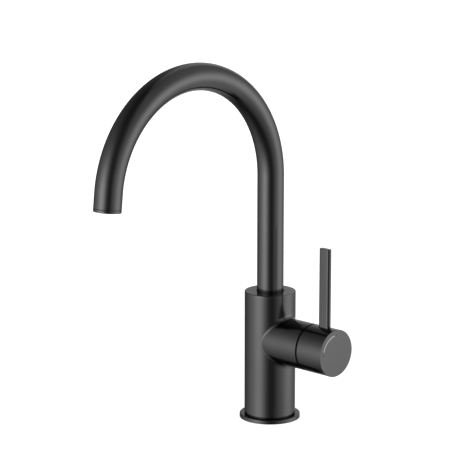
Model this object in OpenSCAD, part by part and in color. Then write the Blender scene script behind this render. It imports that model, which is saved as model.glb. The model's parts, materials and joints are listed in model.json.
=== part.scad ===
// Basin mixer tap: a round column with a swivelling half-circle spout and a side lever handle.
// +Z points up and the origin is the centre of the flange's underside, on the deck.
// The spout points towards -Y and the handle's boss towards +X.

/* [Base flange] */
// Diameter of the base flange
flange_d = 50.4; // [48:0.2:60]
// Thickness of the flange plate
flange_h = 3.4; // [2.6:0.1:5]
// Rounding of the flange's upper edge
flange_edge_r = 0.8; // [0.2:0.1:1.2]
// Height of the shadow groove between the flange and the column
shadow_h = 0.8; // [0.6:0.1:2]
// Inset of the shadow groove from the column's face
shadow_inset = 1; // [0.5:0.1:1.6]
// Height of the lip that centres the column on the flange
lip_h = 3.8; // [2:0.1:6]
// Diameter of the opening for the hoses and the stud
hose_opening_d = 30; // [28:0.5:32]
// Mean diameter of the gasket under the flange
gasket_d = 42; // [38:0.5:44]
// Width of the gasket
gasket_w = 2.8; // [2:0.1:3.4]
// Thickness of the gasket
gasket_h = 1.9; // [1.2:0.1:2.1]

/* [Column] */
// Diameter of the column
column_d = 42.4; // [41:0.2:48]
// Height of the column's flat top above the deck
column_top = 107.8; // [106:0.2:130]
// Rounding of the column's top edge
column_edge_r = 0.4; // [0.3:0.1:1.2]
// Chamfer of the column's bottom edge
column_foot_chamfer = 0.3; // [0.1:0.1:0.6]
// Diameter of the hollow in the column's foot
foot_bore_d = 36; // [34:0.1:37]
// Height above the deck where that hollow ends
foot_bore_top = 46; // [40:0.5:48]

/* [Inlet block] */
// Height of the inlet block
block_h = 20; // [18:0.5:26]
// Wall diameter of the threaded hose inlets, M10 x 1
inlet_d = 9; // [8:0.1:10]
// Depth of the threaded hose inlets
inlet_depth = 12; // [8:0.5:14]
// Distance between the two hose inlets
inlet_pitch = 14; // [13:0.2:15]
// Distance of the hose inlets in front of the column's axis, along X
inlet_x = 3; // [2:0.2:4]
// Wall diameter of the stud hole, M8
stud_d = 6.8; // [6:0.1:7.5]
// Depth of the stud hole
stud_depth = 12; // [8:0.5:16]
// Distance of the stud hole behind the column's axis, along X
stud_x = 9; // [8.5:0.1:10.5]
// Diameter of the rising waterways
riser_bore_d = 5.2; // [4:0.1:5.4]
// Section of the seals on top of the block
inlet_seal_section = 1.7; // [1.2:0.1:2]

/* [Spout] */
// Outer diameter of the spout tube
spout_d = 22; // [20:0.5:22.6]
// Wall of the spout tube
spout_wall = 1.5; // [1.2:0.1:2]
// Height of the start of the bend above the deck
bend_z = 204.7; // [150:0.1:260]
// Radius of the bend, at the tube's centreline
bend_r = 89.6; // [60:0.2:110]
// Sweep of the bend, in degrees
bend_sweep = 174; // [150:1:180]
// Length of the straight outlet end, to its lip
outlet_len = 13.7; // [13:0.1:40]

/* [Spout bearing] */
// Depth of the bearing bore below the column's top
bearing_depth = 23.4; // [23:0.1:24]
// Diameter of the bearing bore
bearing_d = 23.2; // [22.9:0.1:24.4]
// Outer diameter of the foot's lands
foot_d = 22.6; // [22.6:0.1:22.7]
// Bore through the foot
foot_inner_d = 15; // [12:0.5:16]
// Height of each land between the foot's grooves
land_h = 0.8; // [0.6:0.1:0.9]
// Height of the glide ring
glide_h = 2; // [1.6:0.1:2.2]
// Section of the spout's sealing rings
oring_section = 2.2; // [1.8:0.1:2.3]
// Height of the arc groove that the retaining screw runs in
stop_groove_h = 3.4; // [3.2:0.1:3.6]
// Length of the foot's spigot in the tube
foot_spigot_h = 7; // [5:0.5:10]
// Swivel of the spout to each side, in degrees
swivel_half = 75; // [30:5:85]
// Height of the bush at the column's top
bush_h = 4.1; // [3.6:0.1:4.6]
// Height of the bush's retaining collar
bush_collar_h = 1.5; // [1:0.1:2]
// How far the collar stands out
bush_collar_t = 0.8; // [0.4:0.1:1.2]
// Depth of the bush below the column's top
bush_recess = 0.3; // [0.1:0.1:0.6]
// Thread diameter of the retaining screw
spout_screw_d = 5; // [4:0.5:5.5]
// Diameter of the retaining screw's nose
spout_screw_nose_d = 2.9; // [2:0.1:3]

/* [Aerator] */
// Height of the aerator's visible ring
aerator_ring_h = 2.5; // [2:0.1:5]
// Length of the aerator's threaded spigot
aerator_spigot_h = 7; // [5:0.5:8]
// How far the turned outlet end lies below the tube's surfaces
turned_step = 0.02; // [0.01:0.01:0.05]
// Depth of the thread in the spout's wall
outlet_thread_t = 0.5; // [0.3:0.1:0.7]
// Wall of the aerator housing's spigot
aerator_wall = 1.6; // [1.2:0.1:2]
// Recess of the flow straightener above the lip
straightener_recess = 1.2; // [0.6:0.1:2]
// Height of the flow straightener
straightener_h = 7; // [4:0.5:8]
// Pitch of the straightener's holes
hole_pitch = 2.1; // [1.9:0.05:2.2]
// Diameter of the straightener's holes
hole_d = 1.6; // [1.2:0.05:1.7]
// Rings of holes round the middle hole
hole_rings = 3; // [2:1:3]
// Thickness of the screen above the straightener
screen_h = 0.5; // [0.3:0.1:1]
// Thickness of the rubber washer
washer_h = 1.5; // [1:0.1:2]

/* [Boss] */
// Height of the boss's axis above the deck
boss_z = 68; // [66:0.2:69]
// Diameter of the boss and of the turning cap
boss_d = 38.9; // [37:0.1:42]
// Distance of the boss's end from the column's axis
boss_end_x = 46.55; // [45.5:0.1:48]
// Width of the seam between the boss and the cap
seam_w = 1.2; // [0.8:0.1:1.6]
// Clearance of the cap's hollow over the boss's edge
cap_sweep_gap = 0.4; // [0.3:0.05:0.6]
// Clearance of the dome below the boss's edge
dome_inset = 0.5; // [0.4:0.1:0.8]
// Thickness of the dome
dome_t = 1.4; // [1:0.1:1.8]
// Half angle of the opening in the dome, in degrees
dome_opening = 35; // [34:1:40]
// Wall of the dome's threaded skirt
dome_skirt_t = 1.5; // [1:0.1:2]

/* [Cartridge] */
// Distance of the cartridge's seat from the column's axis
seat_x = 10; // [9:0.1:10.5]
// Diameter of the cartridge
cartridge_d = 25; // [24.6:0.1:26]
// Height of the cartridge's base
base_h = 6; // [5:0.1:6.4]
// Height of the fixed ceramic disc
fixed_h = 4; // [3:0.1:4.4]
// Height of the moving ceramic disc
moving_h = 4; // [3.2:0.1:4.4]
// Diameter of the moving disc
moving_d = 18.4; // [17.6:0.1:18.8]
// Height of the disc carrier
carrier_h = 4.2; // [3.8:0.1:4.6]
// Distance of the ports from the cartridge's axis
port_radius = 5.2; // [5:0.1:5.4]
// Diameter of the ports
port_d = 3.6; // [3:0.1:3.8]
// Wall of the seals round the ports
port_seal_t = 1.2; // [0.8:0.1:1.25]
// Height of the seals round the ports
port_seal_h = 1.6; // [1.2:0.1:2]
// Diameter of the mixing pocket in the moving disc
pocket_d = 6.4; // [5.6:0.1:6.6]
// Depth of the mixing pocket
pocket_h = 2; // [1.5:0.1:2.6]
// Wall of the cartridge's housing
housing_wall = 1.1; // [0.9:0.1:1.3]
// Distance of the housing's outer shoulder from the seat
shoulder_h = 23; // [22:0.5:24]
// Height of the housing's outer shoulder
shoulder_t = 2.2; // [1.6:0.1:3]
// How far the shoulder stands out
shoulder_out = 1.4; // [1:0.1:2]
// Thickness of the housing's end wall
housing_end_t = 1.6; // [1.2:0.1:2]
// Thread diameter of the ring nut in the boss
nut_d = 29.9; // [29.5:0.1:32]
// Height of the ring nut
nut_h = 7.6; // [6:0.1:8]
// Number of spanner notches in the ring nut
nut_notches = 4; // [2:1:6]

/* [Handle mechanism] */
// Distance from the spindle's ball to the pivot pin
tail_l = 8; // [7.6:0.1:8.4]
// Diameter of the spindle's ball
ball_d = 4.4; // [4:0.1:4.8]
// Diameter of the spindle's rod
rod_d = 6; // [5.4:0.1:6.2]
// Diameter of the pivot pin
pin_d = 3; // [2.5:0.1:3.2]
// Width over flats of the spindle's square
square_w = 6.4; // [6.3:0.1:6.8]
// Length of the spindle's square in the cap
square_l = 7.4; // [6:0.1:9]
// Tilt of the lever when fully open, in degrees
flow_angle = 25; // [15:1:25]
// Turn of the lever from cold to hot, in degrees
temperature_angle = 80; // [60:5:90]
// Height of the yoke's wide part above the pivot pin
yoke_above = 4; // [3.6:0.1:4.4]
// Diameter of the yoke's neck
yoke_neck_d = 18; // [17:0.1:18.2]
// Height of the yoke's neck
yoke_neck_h = 3.6; // [3:0.1:4]

/* [Cap and lever] */
// Length of the turning cap
cap_len = 25.35; // [24:0.05:32]
// Rounding of the cap's front edge
cap_edge_r = 0.3; // [0.2:0.1:1.2]
// Wall of the cap
cap_wall = 2.6; // [2.2:0.1:3.2]
// Thickness of the cap's face
cap_face_t = 3; // [2.2:0.1:4]
// Diameter of the hub inside the cap
hub_d = 13; // [12:0.5:15]
// Width of the two ribs inside the cap
rib_w = 9; // [7.5:0.5:10]
// Distance of the lever's near edge from the cap's rear edge
lever_from_rim = 7.35; // [7:0.05:10]
// Width of the lever, along the boss's axis, over its two round edges
lever_w = 11.2; // [8:0.1:12.4]
// Thickness of the lever
lever_t = 4.6; // [3:0.1:5.4]
// Length of the lever above the cap
lever_l = 65.15; // [40:0.05:90]
// Depth of the lever's seat in the cap
lever_seat_h = 5.4; // [4:0.1:5.6]
// Chamfer of the lever's upper end
lever_chamfer = 0.4; // [0.2:0.1:0.8]
// Thread diameter of the cap's grub screw
cap_screw_d = 5; // [4:0.5:5.5]
// Length of the cap's grub screw
cap_screw_l = 8; // [6:0.5:9]
// Thickness of the plug over the cap's grub screw
plug_h = 2; // [1.5:0.1:2.5]

/* [Temperature marks] */
// Distance of the silver arc's middle from the cap's rim
mark_inset = 4.45; // [3:0.05:7]
// Width of the silver arc
mark_w = 0.9; // [0.5:0.1:1.5]
// Start of the arc from straight up, in degrees
mark_start = 7; // [4:1:12]
// End of the arc from straight up, in degrees
mark_end = 77; // [50:1:80]
// Diameter of the cold and hot dots
dot_d = 1.8; // [1.2:0.1:2.2]
// Depth of the marks in the cap's face
mark_depth = 0.4; // [0.2:0.05:0.6]

/* [Clearances] */
// Radial clearance of running fits
run_gap = 0.05; // [0.03:0.01:0.08]
// Clearance between pieces that stay still in each other
seat_gap = 0.03; // [0.02:0.01:0.05]
// Clearance of guided sliding faces and loose ends
slide_gap = 0.15; // [0.1:0.05:0.2]
// Gap between the two ceramic discs
disc_gap = 0.02; // [0.01:0.01:0.04]

/* [Hidden] */
$fn = 96;
// Overshoot of cutting tools past the faces that they cut
cut = 0.5;
// Depth of the grub screws' hexagon sockets, and their radius as a share of the thread's
hex_depth = 3;
hex_share = 0.58;

column_r = column_d / 2;
column_z0 = flange_h + shadow_h;
foot_bore_r = foot_bore_d / 2;
shadow_r = column_r - shadow_inset;
lip_r = foot_bore_r - seat_gap;
hose_opening_r = hose_opening_d / 2;

block_z0 = foot_bore_top - block_h;
block_r = foot_bore_r - seat_gap;
inlet_y = inlet_pitch / 2;
riser_bore_r = riser_bore_d / 2;
inlet_seal_r = riser_bore_r + inlet_seal_section;

spout_r = spout_d / 2;
spout_bore_r = spout_r - spout_wall;
bearing_r = bearing_d / 2;
bearing_z0 = column_top - bearing_depth;
bearing_slide_r = bearing_r - run_gap;
foot_z0 = bearing_z0 + 2 * slide_gap;
glide_z0 = foot_z0 + land_h;
glide_r = bearing_r - run_gap - (bearing_r - spout_bore_r) / 2 - seat_gap;
oring_groove_h = oring_section + slide_gap;
oring_groove_r = bearing_slide_r - oring_section - seat_gap;
oring_z = [
    glide_z0 + glide_h + land_h,
    glide_z0 + glide_h + 2 * land_h + oring_groove_h
];
stop_z0 = oring_z[1] + oring_groove_h + land_h;
stop_z = stop_z0 + stop_groove_h / 2;
stop_groove_r = foot_inner_d / 2 + (foot_d - foot_inner_d) / 4;
foot_top = stop_z0 + stop_groove_h + land_h;
foot_spigot_r = spout_bore_r - seat_gap;
stop_screw_tip = stop_groove_r + slide_gap;
stop_half = swivel_half + asin((spout_screw_nose_d / 2 + slide_gap) / stop_screw_tip);
bush_z1 = column_top - bush_recess;
bush_z0 = bush_z1 - bush_h;
bush_r = bearing_r - seat_gap;

ring_z0 = outlet_len - aerator_ring_h;
thread_r = spout_bore_r + outlet_thread_t;
aerator_spigot_r = thread_r - seat_gap;
aerator_bore_r = aerator_spigot_r - aerator_wall;
insert_r = aerator_bore_r - seat_gap;
insert_z0 = outlet_len - straightener_recess - straightener_h;
washer_z0 = ring_z0 - aerator_spigot_h - washer_h;
aerator_edge = 0.25;

boss_r = boss_d / 2;
cartridge_r = cartridge_d / 2;
housing_r = cartridge_r - seat_gap;
housing_bore_r = housing_r - housing_wall;
fixed_x0 = seat_x + base_h;
moving_x0 = fixed_x0 + fixed_h + disc_gap;
carrier_x0 = moving_x0 + moving_h;
yoke_x0 = carrier_x0 + carrier_h + slide_gap;
ball_x = carrier_x0 + carrier_h - slide_gap;
pivot_x = ball_x + tail_l;
yoke_x1 = pivot_x + yoke_above;
yoke_top = yoke_x1 + yoke_neck_h;
yoke_r = housing_bore_r - slide_gap;
yoke_neck_r = yoke_neck_d / 2;
housing_x1 = yoke_x1 + slide_gap + housing_end_t;
shoulder_x = seat_x + shoulder_h;
shoulder_r = cartridge_r + shoulder_out;
nut_r = nut_d / 2;
nut_bore_r = nut_r + seat_gap;
nut_x0 = shoulder_x + shoulder_t;
slide_travel = tail_l * sin(flow_angle);
carrier_flat_cut = 1.5;
carrier_flat = moving_d / 2 - carrier_flat_cut;
slot_half = (yoke_top - pivot_x) * tan(flow_angle) + rod_d / 2 / cos(flow_angle) + slide_gap;
seal_outer_r = port_d / 2 + port_seal_t;
// Places [y, z] of the cold, hot and mixed ports on the cartridge's face
ports = [
    [0, port_radius],
    [-port_radius * sin(temperature_angle), port_radius * cos(temperature_angle)],
    [1.1, -1.3]
];
peg_d = 2.8;
peg_h = 2.4;
// Places [y, z] of the two locating pegs
pegs = [[7.4, -5.4], [7.4, 5.4]];

boss_edge_rho = norm([boss_end_x - pivot_x, boss_r]);
cap_rho = boss_edge_rho + cap_sweep_gap;
dome_rho = boss_edge_rho - dome_inset;
dome_inner_rho = dome_rho - dome_t;
cap_x0 = boss_end_x + seam_w;
face_x = cap_x0 + cap_len;
square_x0 = pivot_x + cap_rho + slide_gap;
square_lead = 2;
hub_r = hub_d / 2;
lever_x0 = cap_x0 + lever_from_rim;
lever_r = lever_t / 2;
lever_foot = boss_r - lever_seat_h;
lever_top = boss_r + lever_l;
cap_screw_x = square_x0 + square_l / 2;
cap_screw_r = cap_screw_d / 2;
plug_top = boss_r - slide_gap;
mark_radius = boss_r - mark_inset;
mark_x = face_x - mark_depth;
dot_gap_angle = 9;
dot_angles = [mark_start - dot_gap_angle, mark_end + dot_gap_angle];

blue = [0.12, 0.32, 0.72];
red = [0.75, 0.1, 0.12];
black = [0.13, 0.13, 0.135];
brass = [0.78, 0.63, 0.33];
steel = [0.68, 0.69, 0.7];
ceramic = [0.93, 0.92, 0.88];
rubber = [0.08, 0.08, 0.08];
grey_plastic = [0.55, 0.57, 0.6];
white_plastic = [0.86, 0.86, 0.84];

// Points of a quarter round of radius r about [u, v], from angle a to angle b
function round_points(u, v, r, a, b, steps = 6) =
    [for (i = [0:steps]) let (t = a + (b - a) * i / steps) [u + r * cos(t), v + r * sin(t)]];

// Ring about Z between two heights
module ring(r_out, r_in, z0, z1) {
    translate([0, 0, z0])
        rotate_extrude()
            translate([r_in, 0])
                square([r_out - r_in, z1 - z0]);
}

// Moves what is drawn about Z onto the boss's axis, with Z turned to +X
module on_boss_axis() {
    translate([0, 0, boss_z])
        rotate([0, 90, 0])
            children();
}

// Cylinder along the boss's axis between two distances from the column's axis
module boss_cylinder(r, x0, x1) {
    on_boss_axis()
        translate([0, 0, x0])
            cylinder(r = r, h = x1 - x0);
}

// Ring along the boss's axis
module boss_ring(r_out, r_in, x0, x1) {
    on_boss_axis()
        ring(r_out, r_in, x0, x1);
}

// Sphere about the point where the handle's two axes cross
module pivot_sphere(r) {
    translate([pivot_x, 0, boss_z])
        sphere(r = r);
}

// Cylinder along +X at a place [y, z] of the cartridge's face
module port_cylinder(place, r, x0, x1) {
    translate([x0, place[0], boss_z + place[1]])
        rotate([0, 90, 0])
            cylinder(r = r, h = x1 - x0);
}

// Puts what is drawn along +Z on the outlet's axis, with Z = 0 where the bend ends
module at_outlet() {
    translate([0, -bend_r, bend_z])
        rotate([bend_sweep, 0, 0])
            translate([0, bend_r, 0])
                children();
}

// Holes in hexagonal rings about Z
module hole_pattern(d, z0, z1) {
    for (i = [-hole_rings:hole_rings], j = [-hole_rings:hole_rings])
        if (abs(i + j) <= hole_rings)
            translate([hole_pitch * (i + j / 2), hole_pitch * j * sqrt(3) / 2, z0])
                cylinder(d = d, h = z1 - z0, $fn = 24);
}

module base_flange() {
    color(black)
        difference() {
            rotate_extrude()
                polygon(concat(
                    [[hose_opening_r, 0], [flange_d / 2, 0]],
                    round_points(flange_d / 2 - flange_edge_r, flange_h - flange_edge_r,
                        flange_edge_r, 0, 90),
                    [[shadow_r, flange_h], [shadow_r, column_z0], [lip_r, column_z0],
                     [lip_r, column_z0 + lip_h], [hose_opening_r, column_z0 + lip_h]]
                ));
            ring(gasket_d / 2 + gasket_w / 2 + seat_gap, gasket_d / 2 - gasket_w / 2 - seat_gap,
                -cut, gasket_h + seat_gap);
        }
}

module base_gasket() {
    color(rubber)
        ring(gasket_d / 2 + gasket_w / 2, gasket_d / 2 - gasket_w / 2, 0, gasket_h);
}

// Round column with its top edge rounded and its bottom edge chamfered
module column_blank() {
    rotate_extrude()
        polygon(concat(
            [[0, column_z0], [column_r - column_foot_chamfer, column_z0],
             [column_r, column_z0 + column_foot_chamfer]],
            round_points(column_r - column_edge_r, column_top - column_edge_r, column_edge_r, 0, 90),
            [[0, column_top]]
        ));
}

// Room for the cartridge and its nut, bored into the boss
module cartridge_bore() {
    boss_cylinder(cartridge_r, seat_x, boss_end_x + cut);
    boss_cylinder(nut_bore_r, shoulder_x, boss_end_x + cut);
    for (place = pegs)
        port_cylinder(place, peg_d / 2 + seat_gap, seat_x - peg_h - slide_gap, seat_x + cut);
}

// Cold and hot water rise beside the axis and turn into the seat
module supply_ways() {
    for (side = [1, -1])
        translate([inlet_x, side * inlet_y, foot_bore_top - cut])
            cylinder(r = riser_bore_r,
                h = boss_z + ports[side > 0 ? 0 : 1][1] - foot_bore_top + cut);
    translate([inlet_x, inlet_y, boss_z + ports[0][1]])
        rotate([90, 0, 0])
            cylinder(d = port_d, h = inlet_y);
    port_cylinder(ports[0], port_d / 2, inlet_x, seat_x + cut);
    port_cylinder(ports[1], port_d / 2, inlet_x, seat_x + cut);
}

// Mixed water runs back through the column and up into the bearing bore
module mixed_way() {
    mixed_x = bearing_r;
    port_cylinder(ports[2], port_d / 2, -mixed_x, seat_x + cut);
    translate([-mixed_x, ports[2][0], boss_z + ports[2][1] - port_d / 2])
        cylinder(r = riser_bore_r, h = bearing_z0 + cut - boss_z - ports[2][1] + port_d / 2);
}

// Bearing bore for the spout's foot, with the bush's groove and the screw's thread
module bearing_bore() {
    translate([0, 0, bearing_z0])
        cylinder(r = bearing_r, h = bearing_depth + cut);
    ring(bush_r + bush_collar_t + seat_gap, bearing_r - cut,
        bush_z0 - seat_gap, bush_z0 + bush_collar_h + seat_gap);
    translate([0, bearing_r - cut, stop_z])
        rotate([-90, 0, 0])
            cylinder(d = spout_screw_d + 2 * seat_gap, h = column_r - bearing_r + 2 * cut);
}

module column_body() {
    color(black)
        difference() {
            union() {
                column_blank();
                boss_cylinder(boss_r, 0, boss_end_x);
            }
            translate([0, 0, column_z0 - cut])
                cylinder(r = foot_bore_r, h = foot_bore_top - column_z0 + cut);
            cartridge_bore();
            supply_ways();
            mixed_way();
            bearing_bore();
        }
}

module inlet_block() {
    color(brass)
        difference() {
            translate([0, 0, block_z0])
                cylinder(r = block_r, h = block_h);
            for (side = [1, -1])
                translate([inlet_x, side * inlet_y, 0]) {
                    translate([0, 0, block_z0 - cut])
                        cylinder(d = inlet_d, h = inlet_depth + cut);
                    translate([0, 0, block_z0])
                        cylinder(r = riser_bore_r, h = block_h + cut);
                    translate([0, 0, foot_bore_top - inlet_seal_section - seat_gap])
                        cylinder(r = inlet_seal_r + seat_gap, h = inlet_seal_section + cut);
                }
            translate([-stud_x, 0, block_z0 - cut])
                cylinder(d = stud_d, h = stud_depth + cut);
        }
}

module inlet_seals() {
    color(rubber)
        for (side = [1, -1])
            translate([inlet_x, side * inlet_y, 0])
                ring(inlet_seal_r, riser_bore_r, foot_bore_top - inlet_seal_section, foot_bore_top);
}

module spout_bush() {
    color(rubber)
        union() {
            ring(bush_r, spout_r + run_gap, bush_z0, bush_z1);
            ring(bush_r + bush_collar_t, spout_r + run_gap, bush_z0, bush_z0 + bush_collar_h);
        }
}

module spout_screw() {
    screw_r = spout_screw_d / 2;
    thread_from = bearing_r + slide_gap;
    thread_to = column_r - cut;
    color(steel)
        translate([0, 0, stop_z])
            rotate([-90, 0, 0])
                difference() {
                    union() {
                        translate([0, 0, thread_from])
                            cylinder(r = screw_r, h = thread_to - thread_from);
                        translate([0, 0, stop_screw_tip])
                            cylinder(d = spout_screw_nose_d, h = thread_from - stop_screw_tip + cut);
                    }
                    translate([0, 0, thread_to - hex_depth])
                        cylinder(r = screw_r * hex_share, h = hex_depth + cut, $fn = 6);
                }
}

module spout_tube() {
    color(black)
        union() {
            ring(spout_r, spout_bore_r, foot_top, bend_z);
            translate([0, -bend_r, bend_z])
                rotate([90, 0, 90])
                    rotate_extrude(angle = bend_sweep)
                        translate([bend_r, 0])
                            difference() {
                                circle(r = spout_r);
                                circle(r = spout_bore_r);
                            }
            at_outlet() {
                ring(spout_r - turned_step, spout_bore_r + turned_step, -cut, washer_z0);
                ring(spout_r - turned_step, thread_r, washer_z0, ring_z0);
            }
        }
}

module spout_foot() {
    land_r = foot_d / 2;
    color(brass)
        difference() {
            union() {
                translate([0, 0, foot_z0])
                    cylinder(r = land_r, h = foot_top - foot_z0);
                translate([0, 0, foot_top - cut])
                    cylinder(r = foot_spigot_r, h = foot_spigot_h + cut);
            }
            translate([0, 0, foot_z0 - cut])
                cylinder(d = foot_inner_d, h = foot_top - foot_z0 + foot_spigot_h + 2 * cut);
            ring(land_r + cut, glide_r, glide_z0, glide_z0 + glide_h + seat_gap);
            for (z = oring_z)
                ring(land_r + cut, oring_groove_r, z, z + oring_groove_h);
            translate([0, 0, stop_z0])
                rotate([0, 0, 90 - stop_half])
                    rotate_extrude(angle = 2 * stop_half)
                        translate([stop_groove_r, 0])
                            square([land_r + cut - stop_groove_r, stop_groove_h]);
        }
}

module spout_orings() {
    color(rubber)
        for (z = oring_z)
            translate([0, 0, z + oring_groove_h / 2])
                rotate_extrude()
                    translate([bearing_slide_r - oring_section / 2, 0])
                        circle(d = oring_section, $fn = 32);
}

module spout_glide_ring() {
    color(white_plastic)
        ring(bearing_slide_r, glide_r + seat_gap, glide_z0, glide_z0 + glide_h);
}

module aerator_housing() {
    color(black)
        at_outlet()
            rotate_extrude()
                polygon([
                    [aerator_bore_r, ring_z0 - aerator_spigot_h],
                    [aerator_spigot_r, ring_z0 - aerator_spigot_h],
                    [aerator_spigot_r, ring_z0],
                    [spout_r - aerator_edge, ring_z0],
                    [spout_r, ring_z0 + aerator_edge],
                    [spout_r, outlet_len - aerator_edge],
                    [spout_r - aerator_edge, outlet_len],
                    [aerator_bore_r + aerator_edge, outlet_len],
                    [aerator_bore_r, outlet_len - aerator_edge]
                ]);
}

module aerator_insert() {
    color(grey_plastic)
        at_outlet()
            difference() {
                translate([0, 0, insert_z0])
                    cylinder(r = insert_r, h = straightener_h);
                hole_pattern(hole_d, insert_z0 - cut, insert_z0 + straightener_h + cut);
            }
}

module aerator_screen() {
    color(steel)
        at_outlet()
            difference() {
                translate([0, 0, insert_z0 - screen_h])
                    cylinder(r = insert_r, h = screen_h);
                hole_pattern(hole_d / 2, insert_z0 - screen_h - cut, insert_z0 + cut);
            }
}

module aerator_washer() {
    color(rubber)
        at_outlet()
            ring(aerator_spigot_r, aerator_bore_r, washer_z0, washer_z0 + washer_h);
}

module cartridge_base() {
    color(grey_plastic)
        difference() {
            union() {
                boss_cylinder(housing_r, seat_x, fixed_x0);
                for (place = pegs)
                    port_cylinder(place, peg_d / 2, seat_x - peg_h, seat_x + cut);
            }
            for (place = ports) {
                port_cylinder(place, port_d / 2, seat_x - cut, fixed_x0 + cut);
                port_cylinder(place, seal_outer_r + seat_gap, seat_x - cut,
                    seat_x + port_seal_h + seat_gap);
            }
        }
}

module port_seals() {
    color(rubber)
        for (place = ports)
            difference() {
                port_cylinder(place, seal_outer_r, seat_x, seat_x + port_seal_h);
                port_cylinder(place, port_d / 2, seat_x - cut, seat_x + port_seal_h + cut);
            }
}

module fixed_disc() {
    color(ceramic)
        difference() {
            boss_cylinder(housing_bore_r - seat_gap, fixed_x0, fixed_x0 + fixed_h);
            for (place = ports)
                port_cylinder(place, port_d / 2, fixed_x0 - cut, fixed_x0 + fixed_h + cut);
        }
}

// At rest the moving disc lies half its travel below the axis, with the supply ports shut
module moving_disc() {
    color(ceramic)
        translate([0, 0, -slide_travel / 2])
            difference() {
                boss_cylinder(moving_d / 2, moving_x0, carrier_x0);
                boss_cylinder(pocket_d / 2, moving_x0 - cut, moving_x0 + pocket_h);
            }
}

module disc_carrier() {
    socket_depth = ball_d / 2 + slide_gap;
    color(white_plastic)
        difference() {
            translate([0, 0, -slide_travel / 2])
                intersection() {
                    boss_cylinder(moving_d / 2, carrier_x0, carrier_x0 + carrier_h);
                    translate([carrier_x0 - cut, -carrier_flat, boss_z - moving_d])
                        cube([carrier_h + 2 * cut, 2 * carrier_flat, 2 * moving_d]);
                }
            boss_cylinder(ball_d / 2 + slide_gap, ball_x - socket_depth, yoke_x0);
        }
}

module cartridge_housing() {
    color(grey_plastic)
        difference() {
            union() {
                boss_cylinder(housing_r, fixed_x0, housing_x1);
                boss_cylinder(shoulder_r, shoulder_x, nut_x0);
            }
            boss_cylinder(housing_bore_r, fixed_x0 - cut, yoke_x1 + slide_gap);
            boss_cylinder(yoke_neck_r + run_gap, yoke_x1, housing_x1 + cut);
        }
}

module lever_yoke() {
    lug_x0 = carrier_x0 + slide_gap;
    color(white_plastic)
        difference() {
            union() {
                boss_cylinder(yoke_r, lug_x0, yoke_x1);
                boss_cylinder(yoke_neck_r, yoke_x1 - cut, yoke_top);
            }
            translate([lug_x0 - cut, -carrier_flat - slide_gap, boss_z - boss_r])
                cube([yoke_x0 - lug_x0 + cut, 2 * (carrier_flat + slide_gap), boss_d]);
            translate([yoke_x0 - cut, -rod_d / 2 - run_gap, boss_z - slot_half])
                cube([yoke_top - yoke_x0 + 2 * cut, rod_d + 2 * run_gap, 2 * slot_half]);
            translate([pivot_x, 0, boss_z])
                rotate([90, 0, 0])
                    cylinder(d = pin_d + 2 * seat_gap, h = boss_d, center = true);
        }
}

module pivot_pin() {
    color(steel)
        translate([pivot_x, 0, boss_z])
            rotate([90, 0, 0])
                cylinder(d = pin_d, h = 2 * (yoke_r - 2 * slide_gap), center = true);
}

module cartridge_nut() {
    notch_w = 3;
    notch_h = 2;
    color(brass)
        difference() {
            boss_ring(nut_r, cartridge_r, nut_x0, nut_x0 + nut_h);
            for (i = [0:nut_notches - 1])
                on_boss_axis()
                    rotate([0, 0, 360 * i / nut_notches])
                        translate([cartridge_r - cut, -notch_w / 2, nut_x0 + nut_h - notch_h])
                            cube([nut_r - cartridge_r + 2 * cut, notch_w, notch_h + cut]);
        }
}

// Section of the dome in distance from the boss's axis and from the column's axis
module dome_section() {
    seat_t = 1.2;
    reach = 2 * dome_rho;
    skirt_x0 = nut_x0 + nut_h + 2 * slide_gap;
    intersection() {
        translate([0, pivot_x])
            circle(r = dome_rho);
        union() {
            difference() {
                polygon([
                    [(boss_end_x - pivot_x) * tan(dome_opening), boss_end_x],
                    [reach * sin(dome_opening), pivot_x + reach * cos(dome_opening)],
                    [reach, pivot_x + reach * cos(dome_opening)],
                    [reach, boss_end_x]
                ]);
                translate([0, pivot_x])
                    circle(r = dome_inner_rho);
            }
            translate([nut_r - dome_skirt_t, boss_end_x])
                square([boss_r, seat_t]);
        }
    }
    translate([nut_r - dome_skirt_t, skirt_x0])
        square([dome_skirt_t, boss_end_x + seat_t - skirt_x0]);
}

module dome_cover() {
    color(black)
        on_boss_axis()
            rotate_extrude()
                dome_section();
}

module spindle() {
    neck_r = 1.8;
    color(steel)
        difference() {
            union() {
                translate([ball_x, 0, boss_z])
                    sphere(d = ball_d);
                boss_cylinder(neck_r, ball_x, pivot_x);
                boss_cylinder(rod_d / 2, ball_x + ball_d / 2 + cut, square_x0 + cut);
                translate([square_x0, -square_w / 2, boss_z - square_w / 2])
                    cube([square_l, square_w, square_w]);
            }
            translate([pivot_x, 0, boss_z])
                rotate([90, 0, 0])
                    cylinder(d = pin_d + 2 * run_gap, h = boss_d, center = true);
        }
}

// Hollow of the cap round its hub, crossed by two ribs that carry the lever and the screw
module cap_hollow() {
    difference() {
        boss_ring(boss_r - cap_wall, hub_r, pivot_x, face_x - cap_face_t);
        translate([pivot_x - cut, -rib_w / 2, boss_z - boss_r])
            cube([face_x - pivot_x, rib_w, boss_d]);
    }
}

module cap_blank() {
    on_boss_axis()
        rotate_extrude()
            polygon(concat(
                [[0, cap_x0], [boss_r, cap_x0]],
                round_points(boss_r - cap_edge_r, face_x - cap_edge_r, cap_edge_r, 0, 90),
                [[0, face_x]]
            ));
}

// Arc on the cap's face, with its angles measured from straight up towards the spout's side
module face_arc(r_out, r_in, from, to, x0, x1) {
    on_boss_axis()
        translate([0, 0, x0])
            rotate([0, 0, 180 + from])
                rotate_extrude(angle = to - from)
                    translate([r_in, 0])
                        square([r_out - r_in, x1 - x0]);
}

module face_dot(angle, r, x0, x1) {
    port_cylinder([-mark_radius * sin(angle), mark_radius * cos(angle)], r, x0, x1);
}

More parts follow.
